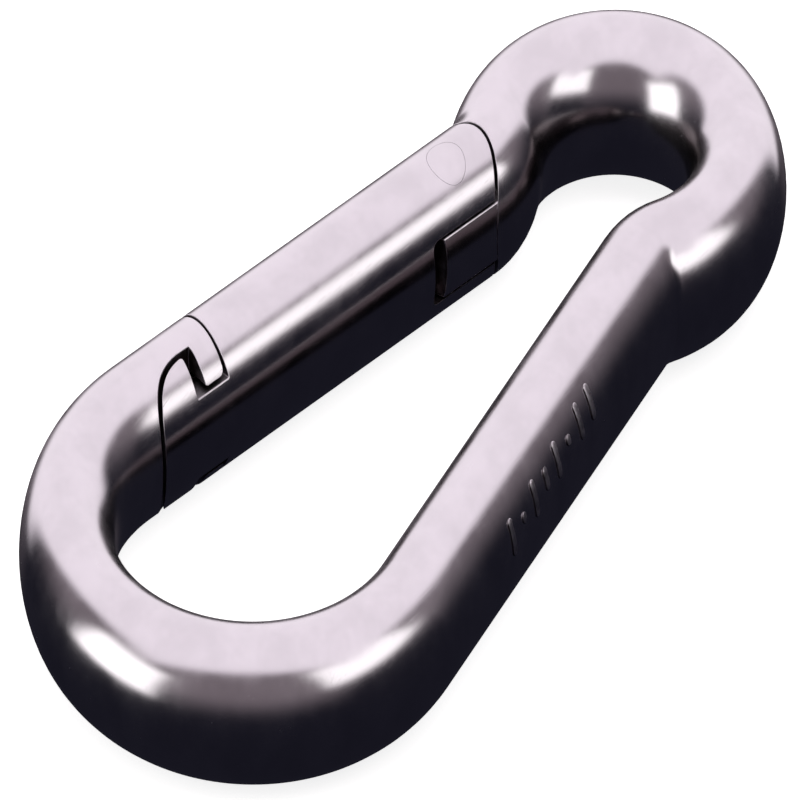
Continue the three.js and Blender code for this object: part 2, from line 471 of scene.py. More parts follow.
    def _keep_round(self, mesh: bpy.types.Mesh, bar: RoundBar) -> None:
        """Shades what is left of the bar's surface as truly round, and dresses the rest.

        Faces that were cut into the bar are milled, and faces that stand proud of it are rubbed.

        Args:
            mesh: The finished mesh.
            bar: The round bar that it was cut from.
        """
        corners = self._read(mesh.loops, "vertex_index", 1, np.int32)
        points = self._read(mesh.vertices, "co", 3)
        normals = self._read(mesh.corner_normals, "vector", 3)
        totals = self._read(mesh.polygons, "loop_total", 1, np.int32)
        steels = self._read(mesh.polygons, "material_index", 1, np.int32)
        flats = self._read(mesh.polygons, "normal", 3)
        middles = self._read(mesh.polygons, "center", 3)
        radial, distance = bar.radial(points / MM)
        middle_radial, middle_distance = bar.radial(middles / MM)
        straight_out = np.einsum("ij,ij->i", flats, middle_radial)
        proud = middle_distance >= bar.radius + self.NEAR_SKIN
        near = (middle_distance > bar.radius - self.NEAR_SKIN) & ~proud
        round_face = (straight_out > self.ROUND_FACE) & near
        on_skin = np.abs(distance - bar.radius) < self.SKIN_TOLERANCE
        flat = np.repeat(flats, totals, axis=0)
        facing = np.einsum("ij,ij->i", flat, radial[corners]) > self.SAME_FACE
        keep = np.repeat(round_face, totals) | (on_skin[corners] & facing)
        normals[keep] = radial[corners[keep]]
        cut = (steels == Face.POLISHED.value) & ~round_face
        steels[cut] = np.where(proud[cut], Face.RUBBED.value, Face.MILLED.value)
        mesh.polygons.foreach_set("material_index", steels)
        mesh.normals_split_custom_set(normals.tolist())

    @staticmethod
    def _read(owner: Any, name: str, width: int, kind: type = float) -> np.ndarray:
        """One property of every item in a mesh list.

        Args:
            owner: The mesh list.
            name: The property.
            width: How many numbers each item has.
            kind: The type of number.

        Returns:
            One row to an item, or a plain list where each item has a single number.
        """
        values = np.empty(len(owner) * width, kind)
        owner.foreach_get(name, values)
        return values.reshape(-1, width) if width > 1 else values


def arc(centre: Point, radius: float, start: float, end: float, steps: int) -> list[Point]:
    """Points round part of a circle.

    Args:
        centre: The middle of the circle.
        radius: Its radius.
        start: The first angle, in radians.
        end: The last angle.
        steps: How many steps lie between them.

    Returns:
        The points, with both ends.
    """
    angles = [start + (end - start) * i / steps for i in range(steps + 1)]
    return [(centre[0] + radius * math.cos(a), centre[1] + radius * math.sin(a)) for a in angles]


def circle(radius: float, sides: int) -> list[Point]:
    """Points round a whole circle about the origin."""
    return arc((0, 0), radius, 0, 2 * math.pi, sides)[:-1]


def curve(start: Point, handle: Point, end: Point, steps: int) -> list[Point]:
    """Points along a curve that leaves its start and reaches its end towards one handle.

    Args:
        start: Where it begins.
        handle: The point that it bends towards.
        end: Where it ends.
        steps: How many steps it has.

    Returns:
        The points, with both ends.
    """
    made = []
    for i in range(steps + 1):
        t = i / steps
        pulls = tuple(zip(((1 - t) ** 2, 2 * t * (1 - t), t * t), (start, handle, end)))
        made.append(tuple(sum(pull * point[k] for pull, point in pulls) for k in (0, 1)))
    return made


def eased(corners: Sequence[tuple[float, float, float]], steps: int = 6) -> list[Point]:
    """An outline with its corners rounded.

    Args:
        corners: The x, y and corner radius of each corner.
        steps: How many steps each round corner has.

    Returns:
        The outline's points.
    """
    made: list[Point] = []
    count = len(corners)
    for i, (x, y, radius) in enumerate(corners):
        here = np.array((x, y))
        before = np.array(corners[i - 1][:2]) - here
        after = np.array(corners[(i + 1) % count][:2]) - here
        if radius <= 0:
            made.append((x, y))
            continue
        before, after = before / np.linalg.norm(before), after / np.linalg.norm(after)
        half = math.acos(float(np.clip(before @ after, -1, 1))) / 2
        reach = radius / math.tan(half)
        made += curve(tuple(here + before * reach), (x, y), tuple(here + after * reach), steps)
    return made


# ---------------------------------------------------------------------------- shader graphs


class Value:
    """A shader socket that takes part in Python arithmetic."""

    def __init__(self, graph: "Graph", socket: bpy.types.NodeSocket) -> None:
        """Wraps a socket.

        Args:
            graph: The graph that the socket belongs to.
            socket: The output socket.
        """
        self.graph = graph
        self.socket = socket

    def _math(self, operation: str, *values: "Value | float") -> "Value":
        """One Math node on these values."""
        return self.graph.node("ShaderNodeMath", {"operation": operation}, dict(enumerate(values)))

    def __add__(self, other: "Value | float") -> "Value":
        """The sum."""
        return self._math("ADD", self, other)

    def __radd__(self, other: float) -> "Value":
        """The sum, number first."""
        return self._math("ADD", other, self)

    def __sub__(self, other: "Value | float") -> "Value":
        """The difference."""
        return self._math("SUBTRACT", self, other)

    def __rsub__(self, other: float) -> "Value":
        """The difference, number first."""
        return self._math("SUBTRACT", other, self)

    def __mul__(self, other: "Value | float") -> "Value":
        """The product."""
        return self._math("MULTIPLY", self, other)

    def __rmul__(self, other: float) -> "Value":
        """The product, number first."""
        return self._math("MULTIPLY", other, self)

    def __neg__(self) -> "Value":
        """The value with its sign changed."""
        return self._math("MULTIPLY", self, -1.0)

    def angle_to(self, across: "Value") -> "Value":
        """The angle whose tangent is this value over another, in radians."""
        return self._math("ARCTAN2", self, across)

    def arcsine(self) -> "Value":
        """The angle whose sine is this value, in radians."""
        return self._math("ARCSINE", self)

    def rise(self, low: float, high: float) -> "Value":
        """A smooth step from 0 at the low value to 1 at the high one.

        Args:
            low: Where the step starts.
            high: Where it ends.

        Returns:
            The step.
        """
        return self.graph.node(
            "ShaderNodeMapRange",
            {"interpolation_type": "SMOOTHSTEP"},
            {"Value": self, "From Min": low, "From Max": high},
        )

    def between(self, low: float, high: float, blur: float) -> "Value":
        """1 from the low value to the high one, and 0 elsewhere, with soft ends."""
        return self.rise(low - blur, low + blur) * (1 - self.rise(high - blur, high + blur))


class Graph:
    """A shader node tree that is written as expressions."""

    def __init__(self, tree: bpy.types.NodeTree) -> None:
        """Starts with an empty tree.

        Args:
            tree: The tree to fill.
        """
        self.tree = tree
        tree.nodes.clear()

    def node(
        self,
        kind: str,
        settings: dict[str, Any] | None = None,
        inputs: dict[Any, Any] | None = None,
        output: str | int = 0,
    ) -> Value:
        """Adds a node.

        Args:
            kind: The node's type.
            settings: What is set on the node itself, before its sockets.
            inputs: The value or link of each input socket.
            output: Which output to hand back.

        Returns:
            The output as a value.
        """
        made = self.tree.nodes.new(kind)
        for name, setting in (settings or {}).items():
            setattr(made, name, setting)
        for name, value in (inputs or {}).items():
            socket = made.inputs[name]
            if isinstance(value, Value):
                self.tree.links.new(value.socket, socket)
            else:
                socket.default_value = value
        return Value(self, made.outputs[output] if made.outputs else None)

    def blend(self, mask: Value | float, low: Any, high: Any) -> Value:
        """A colour that goes from the low one to the high one as the mask rises."""
        sockets = {0: mask, 6: low, 7: high}
        return self.node("ShaderNodeMix", {"data_type": "RGBA"}, sockets, 2)

    def vector(self, operation: str, first: Any, second: Any, output: str | int = 0) -> Value:
        """One Vector Math node."""
        sockets = {0: first, 1: second}
        return self.node("ShaderNodeVectorMath", {"operation": operation}, sockets, output)

    def noise(self, place: Value, scale: float, detail: float = 2.0, roughness: float = 0.5) -> Value:
        """Cloudy noise from 0 to 1.

        Args:
            place: Where on the piece.
            scale: How many cells to the metre it has.
            detail: How many finer layers it has.
            roughness: How strong each finer layer is.

        Returns:
            The noise.
        """
        return self.node(
            "ShaderNodeTexNoise",
            None,
            {"Vector": place, "Scale": scale, "Detail": detail, "Roughness": roughness},
        )

    def streaks(self, place: Value, turn: Turn, cells: tuple[float, float]) -> Value:
        """Noise drawn out into fine lines.

        Args:
            place: Where on the piece.
            turn: How the lines lie, as three angles in radians.
            cells: How many cells to the metre the noise has along the lines, and across them.

        Returns:
            The noise, from 0 to 1.
        """
        along, across = cells
        stretched = self.node(
            "ShaderNodeMapping",
            {"vector_type": "POINT"},
            {"Vector": place, "Rotation": turn, "Scale": (along, across, across)},
        )
        return self.noise(stretched, 1.0, 1.0)


# ---------------------------------------------------------------------------- finishes


@dataclass(frozen=True)
class Steel(ABC):
    """A steel finish that varies over the piece."""

    name: str
    tint: Tint

    @abstractmethod
    def look(self, graph: Graph, place: Value) -> dict[str, Value]:
        """The finish's colour, roughness and bump.

        Args:
            graph: The graph to write them in.
            place: Where on the piece.

        Returns:
            The value of each socket that varies.
        """

    def shade(self, share: float) -> Colour:
        """A share of the finish's tint."""
        return (*(channel * share for channel in self.tint), 1.0)

    def material(self) -> bpy.types.Material:
        """The finish as a material.

        Returns:
            The material, with its nodes.
        """
        made = bpy.data.materials.new(self.name)
        made.use_nodes = True
        graph = Graph(made.node_tree)
        place = graph.node("ShaderNodeTexCoord", output="Object")
        sockets = {"Metallic": 1.0, **self.look(graph, place)}
        surface = graph.node("ShaderNodeBsdfPrincipled", None, sockets)
        graph.node("ShaderNodeOutputMaterial", None, {"Surface": surface})
        return made


@dataclass(frozen=True)
class PolishedSteel(Steel):
    """Buffed stainless steel: a clear reflection, soft buffing clouds and fine crossing hairlines.

    Light that comes by way of another polished face is taken down by a painted shade: glossy rays see the
    base colour blended dark, which keeps the inner walls dark.
    """

    roughness: float = 0.13
    cloud_roughness: float = 0.07
    cloud_cells: float = 210.0
    hairline_turn: Turn = (0.3, 0.5, 0.6)
    hairline_cells: tuple[float, float] = (160.0, 5200.0)
    crossing_turn: Turn = (1.1, 0.2, 2.2)
    crossing_cells: tuple[float, float] = (240.0, 6400.0)
    hairline_roughness: float = 0.06
    hairline_depth: float = 0.000012
    hairline_strength: float = 0.14
    dimple_cells: float = 900.0
    dimple_share: float = 0.7
    hairline_share: float = 0.6
    dull_share: float = 0.9
    second_bounce_loss: float = 0.96
    # Painted shade: the dark colour that other polished faces see in place of this steel.
    painted_bounce_shade: Colour = (0.05, 0.036, 0.038, 1.0)

    def look(self, graph: Graph, place: Value) -> dict[str, Value]:
        """Clouds in the colour and polish, a painted shade in the colour for glossy rays, and hairlines and
        dimples in the bump.

        Args:
            graph: The graph to write them in.
            place: Where on the piece.

        Returns:
            The value of each socket that varies.
        """
        clouds = graph.noise(place, self.cloud_cells, 4.0, 0.6).rise(0.3, 0.7)
        lines = graph.streaks(place, self.hairline_turn, self.hairline_cells).rise(0.6, 0.72)
        crossing = graph.streaks(place, self.crossing_turn, self.crossing_cells).rise(0.62, 0.74)
        hairlines = lines * 0.5 + crossing * 0.5
        dimples = graph.noise(place, self.dimple_cells, 3.0, 0.55)
        steel = graph.blend(clouds, self.shade(self.dull_share), self.shade(1.0))
        # Painted shade: for glossy rays the base colour goes most of the way to a dark colour, darkening
        # reflections of this steel in gaps and on inner walls.
        second_bounce = graph.node("ShaderNodeLightPath", output="Is Glossy Ray")
        bump = {
            "Strength": self.hairline_strength,
            "Distance": self.hairline_depth,
            "Height": dimples * self.dimple_share - hairlines * self.hairline_share,
        }
        dulled = clouds * self.cloud_roughness + hairlines * self.hairline_roughness
        return {
            "Base Color": graph.blend(second_bounce * self.second_bounce_loss, steel, self.painted_bounce_shade),
            "Roughness": self.roughness + dulled,
            "Normal": graph.node("ShaderNodeBump", None, bump),
        }


@dataclass(frozen=True)
class RubbedEdge(Steel):
    """An edge that handling has rubbed: brighter, and softer in its reflection."""

    roughness: float = 0.24
    nick_roughness: float = 0.14
    nick_cells: float = 1500.0
    nick_depth: float = 0.00002
    nick_strength: float = 0.5
    grimy_share: float = 0.72

    def look(self, graph: Graph, place: Value) -> dict[str, Value]:
        """Nicks that hold a little dirt.

        Args:
            graph: The graph to write them in.
            place: Where on the piece.

        Returns:
            The value of each socket that varies.
        """
        nicks = graph.noise(place, self.nick_cells, 3.0, 0.6)
        bump = {"Strength": self.nick_strength, "Distance": self.nick_depth, "Height": nicks}
        grimy, bright = self.shade(self.grimy_share), self.shade(1.0)
        return {
            "Base Color": graph.blend(nicks.rise(0.35, 0.6), grimy, bright),
            "Roughness": self.roughness + nicks * self.nick_roughness,
            "Normal": graph.node("ShaderNodeBump", None, bump),
        }


@dataclass(frozen=True)
class MilledSteel(Steel):
    """A cut face as the cutter left it: fine even tool lines, and a little dark from oil."""

    roughness: float = 0.34
    line_roughness: float = 0.12
    line_turn: Turn = (0.0, 0.0, 0.2)
    line_cells: tuple[float, float] = (90.0, 3800.0)
    line_depth: float = 0.00003
    line_strength: float = 0.6
    stain_cells: float = 420.0
    bare_share: float = 0.5
    oil: Colour = (0.1, 0.07, 0.075, 1.0)

    def look(self, graph: Graph, place: Value) -> dict[str, Value]:
        """Tool lines, with oil in patches.

        Args:
            graph: The graph to write them in.
            place: Where on the piece.

        Returns:
            The value of each socket that varies.
        """
        lines = graph.streaks(place, self.line_turn, self.line_cells)
        stain = graph.noise(place, self.stain_cells, 3.0, 0.6)
        bump = {"Strength": self.line_strength, "Distance": self.line_depth, "Height": lines}
        return {
            "Base Color": graph.blend(stain.rise(0.35, 0.65), self.oil, self.shade(self.bare_share)),
            "Roughness": self.roughness + lines * self.line_roughness,
            "Normal": graph.node("ShaderNodeBump", None, bump),
        }


SteelSet = tuple[bpy.types.Material, bpy.types.Material, bpy.types.Material]


def steel_set(name: str, tint: Tint, roughness: float) -> SteelSet:
    """The polished, rubbed and milled steels of one piece.

    Args:
        name: What the piece's steel is called.
        tint: Its colour.
        roughness: How dull its polish is.

    Returns:
        The three materials, in the order of Face.
    """
    return (
        PolishedSteel(f"{name}_polished", tint, roughness).material(),
        RubbedEdge(f"{name}_rubbed_edge", tint, roughness + 0.1).material(),
        MilledSteel(f"{name}_milled", tint).material(),
    )


# ---------------------------------------------------------------------------- the plan


@dataclass(frozen=True)
class HookPlan:
    """The driving sizes of the bent bar, in millimetres, and what follows from them."""

    length: float = 100.0
    bar_radius: float = 5.0
    eye_radius: float = 12.5
    bow_radius: float = 18.7
    neck_bend_radius: float = 5.8
    neck_angle: float = math.radians(53.5)
    bar_inset: float = 1.0
    shoulder_x: float = 2.5
    nose_x: float = -32.5
    nose_ring_x: float = -38.6
    height: float = 5.0

    @property
    def eye(self) -> np.ndarray:
        """The middle of the eye."""
        return np.array((self.length / 2 - self.bar_radius - self.eye_radius, 0.0))

    @property
    def bow(self) -> np.ndarray:
        """The middle of the bow."""
        return np.array((self.bow_radius + self.bar_radius - self.length / 2, 0.0))

    @property
    def neck(self) -> np.ndarray:
        """Where the gate's leg would meet the eye without its bend."""
        turned = np.array((-math.cos(self.neck_angle), math.sin(self.neck_angle)))
        return self.eye + self.eye_radius * turned

    @property
    def leg_length(self) -> float:
        """How long the leg is from the neck to the bow."""
        return math.sqrt(float(np.sum((self.bow - self.neck) ** 2)) - self.bow_radius**2)

    @property
    def along(self) -> np.ndarray:
        """The direction of the gate's leg, towards the bow."""
        run = self.bow - self.neck
        bearing = math.atan2(run[1], run[0]) - math.atan2(self.bow_radius, self.leg_length)
        return np.array((math.cos(bearing), math.sin(bearing)))

    @property
    def outward(self) -> np.ndarray:
        """The direction out of the hook, square to the gate's leg."""
        return np.array((self.along[1], -self.along[0]))

    @property
    def hinge(self) -> Matrix:
        """The frame on the pin: x along the gate towards the eye, y outwards, z up."""
        joint = next(j for j in frame["joints"] if j["name"] == "gate_hinge")
        place = Matrix.Translation(Vector(joint["pos_m"]) / MM)
        return place @ Matrix.Rotation(math.atan2(-self.along[1], -self.along[0]), 4, "Z")

    @property
    def side_on(self) -> Matrix:
        """The hinge frame turned over, so that an outline in it is seen from inside the hook."""
        return self.hinge @ Matrix(((1, 0, 0, 0), (0, 0, 1, 0), (0, 1, 0, 0), (0, 0, 0, 1)))

    def local(self, x: float, y: float) -> np.ndarray:
        """A plan point of the hinge frame in the row frame."""
        return np.array((self.hinge @ Vector((x, y, 0)))[:2])

    def bent_bar(self) -> RoundBar:
        """The whole bar, from the shoulder at the hinge round the eye, spine and bow to the nose.

        Returns:
            The bar.
        """
        base = self.neck + self.outward * self.neck_bend_radius - self.eye
        reach = self.eye_radius + self.neck_bend_radius
        lean = float(base @ self.along)
        run = -lean + math.sqrt(lean**2 - float(base @ base) + reach**2)
        bend_centre = self.eye + base + self.along * run
        bend_start = self.neck + self.along * run
        bow_tangent = self.neck + self.along * self.leg_length
        to_eye = self.eye - bend_centre
        bend_from = math.atan2(-self.outward[1], -self.outward[0])
        bend_to = math.atan2(to_eye[1], to_eye[0])
        bend = (bend_to - bend_from) % (2 * math.pi)
        eye_from = math.atan2(-to_eye[1], -to_eye[0])
        bow_from = math.atan2(-self.outward[1], self.outward[0])
        nose_ring = self.local(self.nose_ring_x, self.bar_inset)
        stretches = (
            Straight(self.local(self.shoulder_x, self.bar_inset), bend_start),
            Bend(bend_centre, self.neck_bend_radius, bend_from, bend),
            Bend(self.eye, self.eye_radius, eye_from, -2 * eye_from),
            Bend(bend_centre * MIRROR, self.neck_bend_radius, -bend_to, bend),
            Straight(bend_start * MIRROR, bow_tangent * MIRROR),
            Bend(self.bow, self.bow_radius, bow_from, -2 * (math.pi + bow_from)),
            Straight(bow_tangent, nose_ring),
            Straight(nose_ring, self.local(self.nose_x, self.bar_inset)),
        )
        return RoundBar(stretches, self.bar_radius, self.height)

    def leg_bar(self, stations: Sequence[float], radius: float) -> RoundBar:
        """A straight round bar on the gate's line, with a ring at each x of the hinge frame.

        Args:
            stations: The x of each ring.
            radius: The bar's radius.

        Returns:
            The bar.
        """
        points = [self.local(x, self.bar_inset) for x in stations]
        runs = tuple(Straight(a, b) for a, b in zip(points, points[1:]))
        return RoundBar(runs, radius, self.height)


@dataclass(frozen=True)
class Latch:
    """The T-headed latch in the hinge frame, where x runs negative towards the nose."""

    gate_end_x: float = -31.85
    finger_start_x: float = -32.5
    finger_end_x: float = -35.0
    head_start_x: float = -36.3
    head_length: float = 5.3
    head_outer_y: float = -0.7
    head_inner_y: float = -4.7
    crest_length: float = 0.5
    crest_drop: float = 0.3
    corner_setback: float = 1.0
    neck_half_width: float = 2.75
    gap: float = 0.4
    slot_gap: float = 0.28
    end_radius: float = 32.27
    overcut: float = 0.04
    finger_corner: float = 0.7
    head_corner: float = 0.35

    def head_outline(self, back: float, clearance: float) -> list[Point]:
        """The head in plan, from a back face to its rounded far side.

        Args:
            back: Where the back face is.
            clearance: How much larger than the head the outline is.

        Returns:
            The outline's points.
        """
        far = self.head_start_x - self.head_length - clearance
        top = self.head_outer_y + clearance
        crest = (self.head_start_x - self.crest_length, top)
        handle = (far + self.corner_setback, top - self.crest_drop)
        side = curve(crest, handle, (far, self.head_inner_y), 20)
        corner = eased([(back, -BEYOND, 0), (back, top, self.head_corner), (*crest, 0)], 4)
        return corner[:-1] + side + [(far, -BEYOND)]


# ---------------------------------------------------------------------------- pieces


@dataclass(frozen=True)
class HookBody:
    """The bent bar, with its nose slotted for the latch, its hinge tang and its tally marks."""

    plan: HookPlan
    latch: Latch
    sides: int = 64
    stride: float = 0.7
    cheek_clearance: float = 5.3
    flat_end_x: float = 4.3
    flat_y: float = 3.0
    tang_half_width: float = 2.0
    tang_drop: float = 0.03
    tang_root_x: float = 6.0
    tang_outer_y: float = 6.3
    tang_flat: float = 1.2
    tang_inner_y: float = -4.3
    tang_inner_trim: Point = (1.6, 1.8)
    tang_outer_trim: tuple[Point, ...] = ((0, 2.8), (1.2, 1.3), (1.8, 0))
    cam_steps: int = 12
    cam_radius: float = 3.9
    cam_base_radius: float = 1.5
    swing: float = math.radians(30)
    bore_radius: float = 2.1
    slot_overrun: float = 3.0
    edge: float = 0.08
    marks_start: float = 19.8
    marks_end: float = 36.9
    marks_angle_start: float = math.radians(32)
    marks_angle_end: float = math.radians(19)
    mark_height: float = 2.5
    mark_width: float = 0.66
    mark_rise: float = 0.14
    mark_edge: float = 0.05
    mark_depth: float = 0.8
    marks_margin: float = 3.0
    mark_shares: tuple[float, ...] = (1.0, 1.0, 0.3, 1.0, 0.62, 1.0, 0.3, 1.0)

    def tang_outline(self) -> list[Point]:
        """The tang: rounded outside, with an involute cam that moves the plunger evenly.

        Returns:
            The outline's points, in the hinge frame.
        """
        root, outer, inner = self.tang_root_x, self.tang_outer_y, self.tang_inner_y
        back, up = self.tang_inner_trim
        points: list[Point] = [(root - back, inner), (root, inner + up)]
        points += [(root - x, outer - y) for x, y in self.tang_outer_trim]
        points += curve((-self.tang_flat, outer), (-self.cam_radius, outer), (-self.cam_radius, 0), 24)
        for i in range(self.cam_steps + 1):
            turn = self.swing * i / self.cam_steps
            lift = self.cam_radius + self.cam_base_radius * turn
            x = -lift * math.cos(turn) + self.cam_base_radius * math.sin(turn)
            y = -lift * math.sin(turn) - self.cam_base_radius * math.cos(turn)
            points.append((x, y))
        return points + [(points[-1][0], inner)]

    def nose_cutters(self) -> list[Solid]:
        """What is milled from the nose: the pocket for the head, and the slot between two fingers.

        Returns:
            The solids to cut away.
        """
        hinge, latch, high = self.plan.hinge, self.latch, self.plan.bar_radius + BEYOND
        pocket_outline = latch.head_outline(latch.finger_end_x, latch.gap)
        pocket = Solid.prism("pocket", pocket_outline, -high, high, hinge)
        slot_z, corner = latch.neck_half_width + latch.slot_gap, latch.finger_corner
        back, front = latch.finger_end_x - latch.overcut, latch.finger_start_x + latch.overcut
        start, end, floor = latch.head_start_x, front + self.slot_overrun, latch.head_outer_y + latch.gap
        outline = [(start, -high), (end, -high), (end, high), (start, high)]
        slot = Solid.prism("slot", outline, -BEYOND, floor, self.plan.side_on)
        for up in (1, -1):
            finger = eased(
                [
                    (back, up * slot_z, corner * 0.5),
                    (front, up * slot_z, corner),
                    (front, up * (high + 1), 0),
                    (back, up * (high + 1), 0),
                ]
            )
            solid = Solid.prism("finger", finger, -BEYOND - 1, floor + 1, self.plan.side_on)
            slot = slot.meet(solid, Combine.CUT)
        return [pocket, slot]

    def hinge_cutters(self) -> list[Solid]:
        """What is milled from the shoulder for the gate's two cheeks.

        Returns:
            The solids to cut away.
        """
        hinge, high = self.plan.hinge, self.plan.bar_radius + BEYOND
        around = circle(self.cheek_clearance, 96)
        end, flat = self.flat_end_x, self.flat_y
        room = [(0, flat), (end, flat), (end, BEYOND), (0, BEYOND)]
        return [Solid.prism("room", outline, -high, high, hinge) for outline in (around, room)]

    def tang(self) -> Solid:
        """The tang that the gate turns on, inside the round of the bar.

        Returns:
            The solid, without its bore.
        """
        hinge, width = self.plan.hinge, self.tang_half_width
        blade = Solid.prism("tang", self.tang_outline(), -width, width, hinge)
        round_bar = self.plan.leg_bar((BEYOND, -BEYOND), self.plan.bar_radius - self.tang_drop)
        return blade.meet(round_bar.skin(72), Combine.COMMON)

    def marks(self, steels: SteelSet) -> Solid:
        """A row of plain tally marks, raised along the outer side of the spine.

        Args:
            steels: What the bar is dressed in.

        Returns:
            The marks as one solid, with rounded edges.
        """
        plan = self.plan
        along = Vector((*(plan.along * MIRROR), 0))
        outward = Vector((*(plan.outward * MIRROR), 0))
        neck = Vector((*(plan.neck * MIRROR), plan.height))
        round_end = self.mark_width / 2
        rows = None
        for i, share in enumerate(self.mark_shares):
            part = i / (len(self.mark_shares) - 1)
            angle = self.marks_angle_start + (self.marks_angle_end - self.marks_angle_start) * part
            reach = self.marks_start + (self.marks_end - self.marks_start) * part
            face = outward * math.cos(angle) + UPRIGHT * math.sin(angle)
            rise = UPRIGHT * math.cos(angle) - outward * math.sin(angle)
            middle = neck + along * reach + face * plan.bar_radius
            axes = Matrix((along, rise, along.cross(rise))).transposed().to_4x4()
            half = max(self.mark_height * share / 2, round_end + 0.001) - round_end
            outline = arc((0, half), round_end, 0, math.pi, 10)
            outline += arc((0, -half), round_end, math.pi, 2 * math.pi, 10)
            place = Matrix.Translation(middle) @ axes
            mark = Solid.prism("mark", outline, -self.mark_depth, self.mark_depth, place)
            rows = mark if rows is None else rows.meet(mark, Combine.JOIN)
        ends = (self.marks_start - self.marks_margin, self.marks_end + self.marks_margin)
        start, end = (np.array(neck[:2]) + np.array(along[:2]) * reach for reach in ends)
        crown = RoundBar((Straight(start, end),), plan.bar_radius + self.mark_rise, plan.height)
        return rows.meet(crown.skin(180), Combine.COMMON).softened(self.mark_edge, steels)

    def build(self, steels: SteelSet) -> bpy.types.Object:
        """Makes the piece.

        Args:
            steels: What it is dressed in.

        Returns:
            The piece.
        """
        bar = self.plan.bent_bar()
        solid = bar.skin(self.sides, self.stride)
        for cutter in (*self.hinge_cutters(), *self.nose_cutters()):
            solid = solid.meet(cutter, Combine.CUT)
        solid = solid.meet(self.tang(), Combine.JOIN)
        bore = Solid.prism("bore", circle(self.bore_radius, 64), -BEYOND, BEYOND, self.plan.hinge)
        solid = solid.meet(bore, Combine.CUT)
        solid = solid.softened(self.edge, steels).meet(self.marks(steels), Combine.JOIN)
        past_tang = Straight(self.plan.local(-BEYOND, self.plan.bar_inset), bar.stretches[0].end)
        shape = RoundBar((past_tang, *bar.stretches[1:]), bar.radius, bar.height)
        return solid.shown("hook_bar", shape)


@dataclass(frozen=True)
class Gate:
    """The gate: a forked and bored round bar, with a narrow neck that carries the latch's head."""

    plan: HookPlan
    latch: Latch
    sides: int = 68
    ring_x: tuple[float, ...] = (
        *(1.3, -3.2, -7.4, -10, -13, -16, -19),
        *(-22, -25, -28, -30.6, -34.1, -38.7),
    )
    overrun: float = 3.0
    cheek_radius: float = 5.0
    flat_x: float = 4.0
    flat_y: float = 3.0
    fork_half_width: float = 2.15
    fork_floor_x: float = -4.9
    fork_corner: float = 0.8
    bore_radius: float = 2.2
    bore_end_x: float = -22.0
    bore_start: float = 0.5
    drill_point: float = 0.55
    drill_tip: float = 0.05
    rivet_bore_radius: float = 1.99
    shared_depth: float = 0.5
    edge: float = 0.08

    def outline(self) -> list[Point]:
        """The gate in plan, short of its head: a rounded hinge end, and an end that swings clear.

        Returns:
            The outline's points, in the hinge frame.
        """
        reach = self.latch.end_radius
        half = math.asin(BEYOND / reach)
        end = arc((0, 0), reach, math.pi - half, math.pi + half, 24)
        cheek = arc((0, 0), self.cheek_radius, -math.pi / 2, math.atan2(self.flat_y, self.flat_x), 48)
        return [*end, (0, -BEYOND), *cheek, (self.flat_x, BEYOND)]

    def build(self, steels: SteelSet) -> bpy.types.Object:
        """Makes the piece.

        Args:
            steels: What it is dressed in.

        Returns:
            The piece.
        """
        hinge, latch, high = self.plan.hinge, self.latch, self.plan.bar_radius + 1
        far = latch.head_start_x - latch.head_length - self.overrun
        open_x = self.cheek_radius + self.overrun
        bar = self.plan.leg_bar((open_x, *self.ring_x, far), self.plan.bar_radius)
        back, front = latch.head_start_x - self.shared_depth, latch.gate_end_x + self.shared_depth
        top, half = latch.head_outer_y, latch.neck_half_width
        neck = [(back, -BEYOND), (front, -BEYOND), (front, top), (back, top)]
        head = latch.head_outline(latch.head_start_x, 0)
        solid = Solid.prism("gate", self.outline(), -high, high, hinge)
        solid = solid.meet(Solid.prism("neck", neck, -half, half, hinge), Combine.JOIN)
        solid = solid.meet(Solid.prism("head", head, -high, high, hinge), Combine.JOIN)
        solid = solid.meet(bar.skin(self.sides), Combine.COMMON)
        floor, wide, corner = self.fork_floor_x, self.fork_half_width, self.fork_corner
        fork = eased([(floor, -wide, corner), (open_x, -wide, 0), (open_x, wide, 0), (floor, wide, corner)])
        solid = solid.meet(Solid.prism("fork", fork, -BEYOND, BEYOND, self.plan.side_on), Combine.CUT)
        tip = (self.bore_end_x - self.bore_radius * self.drill_point, self.drill_tip)
        drill = [tip, (self.bore_end_x, self.bore_radius), (floor + self.bore_start, self.bore_radius)]
        solid = solid.meet(Solid.turned("bore", drill, 64, hinge), Combine.CUT)
        solid = solid.softened(self.edge, steels)
        rivet = Solid.prism("rivet", circle(self.rivet_bore_radius, 96), -high, high, hinge)
        solid = solid.meet(rivet, Combine.CUT)
        return solid.shown("gate_bar", bar)


@dataclass(frozen=True)
class HingePin:
    """The rivet, closed tight in the gate's cheeks and ground off flush with their round."""

    plan: HookPlan
    head_radius: float = 1.97
    shank_radius: float = 1.8
    cheek_inner_z: float = 2.45
    shoulder: float = 0.15
    sides: int = 96
    edge: float = 0.02

    def build(self, steels: SteelSet) -> bpy.types.Object:
        """Makes the piece.

        Args:
            steels: What it is dressed in.

        Returns:
            The piece.
        """
        upright = self.plan.hinge @ Matrix.Rotation(-math.pi / 2, 4, "Y")
        high, inner = self.plan.bar_radius + 2, self.cheek_inner_z
        half = [
            (inner, self.shank_radius),
            (inner + self.shoulder, self.head_radius),
            (high, self.head_radius),
        ]
        profile = [(-x, radius) for x, radius in half[::-1]] + half
        bar = self.plan.leg_bar((BEYOND, -BEYOND), self.plan.bar_radius)
        shank = Solid.turned("rivet", profile, self.sides, upright)
        solid = shank.meet(bar.skin(180), Combine.COMMON)
        return solid.softened(self.edge, steels).shown("rivet", bar)


